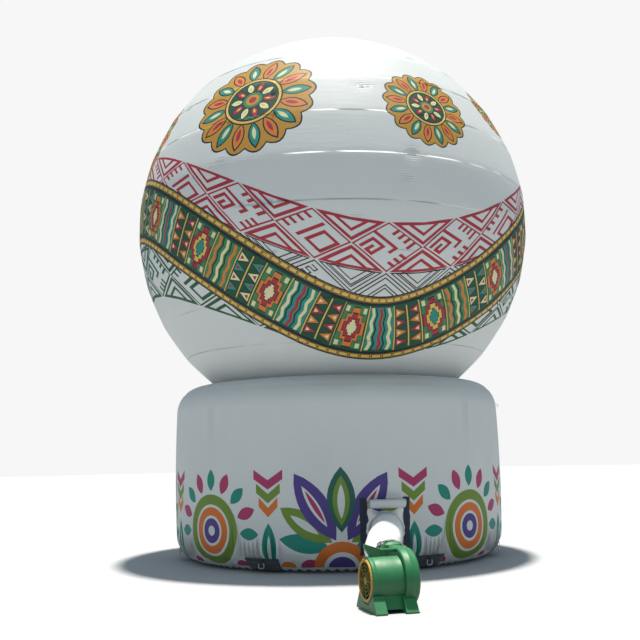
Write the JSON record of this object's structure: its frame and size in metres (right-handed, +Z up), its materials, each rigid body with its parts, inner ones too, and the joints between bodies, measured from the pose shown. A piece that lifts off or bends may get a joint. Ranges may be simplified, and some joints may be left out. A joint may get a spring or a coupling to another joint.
{
  "type": "inflatable advertising sphere",
  "caption": "Inflatable printed sphere on a round inflatable drum base, with air inlet tube, ground anchors and a floor blower.",
  "frame": {"origin": "centre of the drum's floor panel, on the ground", "axes": "+Z up; -Y is the side with the air inlet, where the blower stands; +X is to the right seen from there"},
  "size_m": [4.9798, 6.9148, 6.571],
  "materials": {
    "white_coated_fabric": "satin",
    "grey_floor_fabric": "matte",
    "navy_webbing": "matte",
    "white_tape": "matte",
    "plated_steel": "satin",
    "green_plastic": "satin",
    "yellow_plastic": "satin",
    "guard_wire": "satin",
    "motor_metal": "satin",
    "wheel_plastic": "satin",
    "black_plastic": "satin"
  },
  "bodies": {
    "balloon": {"sphere_envelope": "white_coated_fabric", "sphere_top_cap": "white_coated_fabric", "neck_seam_tape": "white_tape", "drum_top_panel": "white_coated_fabric", "drum_wall": "white_coated_fabric", "drum_floor_panel": "grey_floor_fabric", "anchor_patch_1": "navy_webbing", "anchor_patch_2": "navy_webbing", "anchor_patch_3": "navy_webbing", "anchor_patch_4": "navy_webbing", "anchor_patch_5": "navy_webbing", "anchor_patch_6": "navy_webbing", "anchor_patch_7": "navy_webbing", "anchor_ring_1": "plated_steel", "anchor_ring_2": "plated_steel", "anchor_ring_3": "plated_steel", "anchor_ring_4": "plated_steel", "anchor_ring_5": "plated_steel", "anchor_ring_6": "plated_steel", "anchor_ring_7": "plated_steel", "tether_tab_1": "white_tape", "tether_tab_2": "white_tape", "tether_tab_3": "white_tape", "deflation_zip": "navy_webbing", "zip_slider": "plated_steel", "fastener_strip_left": "navy_webbing", "fastener_strip_right": "navy_webbing", "rolled_flap": "white_coated_fabric", "flap_tie": "white_tape", "inflation_tube": "white_coated_fabric", "cinch_strap": "navy_webbing", "cinch_buckle": "plated_steel", "outlet_duct": "green_plastic", "blower_barrel": "green_plastic", "blower_scroll": "green_plastic", "blower_base": "green_plastic", "handle_ear": "green_plastic", "handle_bar": "green_plastic", "intake_ring": "yellow_plastic", "intake_guard": "guard_wire", "motor": "motor_metal", "motor_spider": "motor_metal", "switch_box": "black_plastic", "cable_gland": "black_plastic"},
    "fan_wheel": {"impeller": "wheel_plastic"}
  },
  "joints": [
    {"name": "fan_spin", "type": "hinge", "parent": "balloon", "child": "fan_wheel", "pos_m": [0.44535, -4.09692, 0.235], "axis": [-0.9613, -0.2756, 0], "continuous": true}
  ]
}
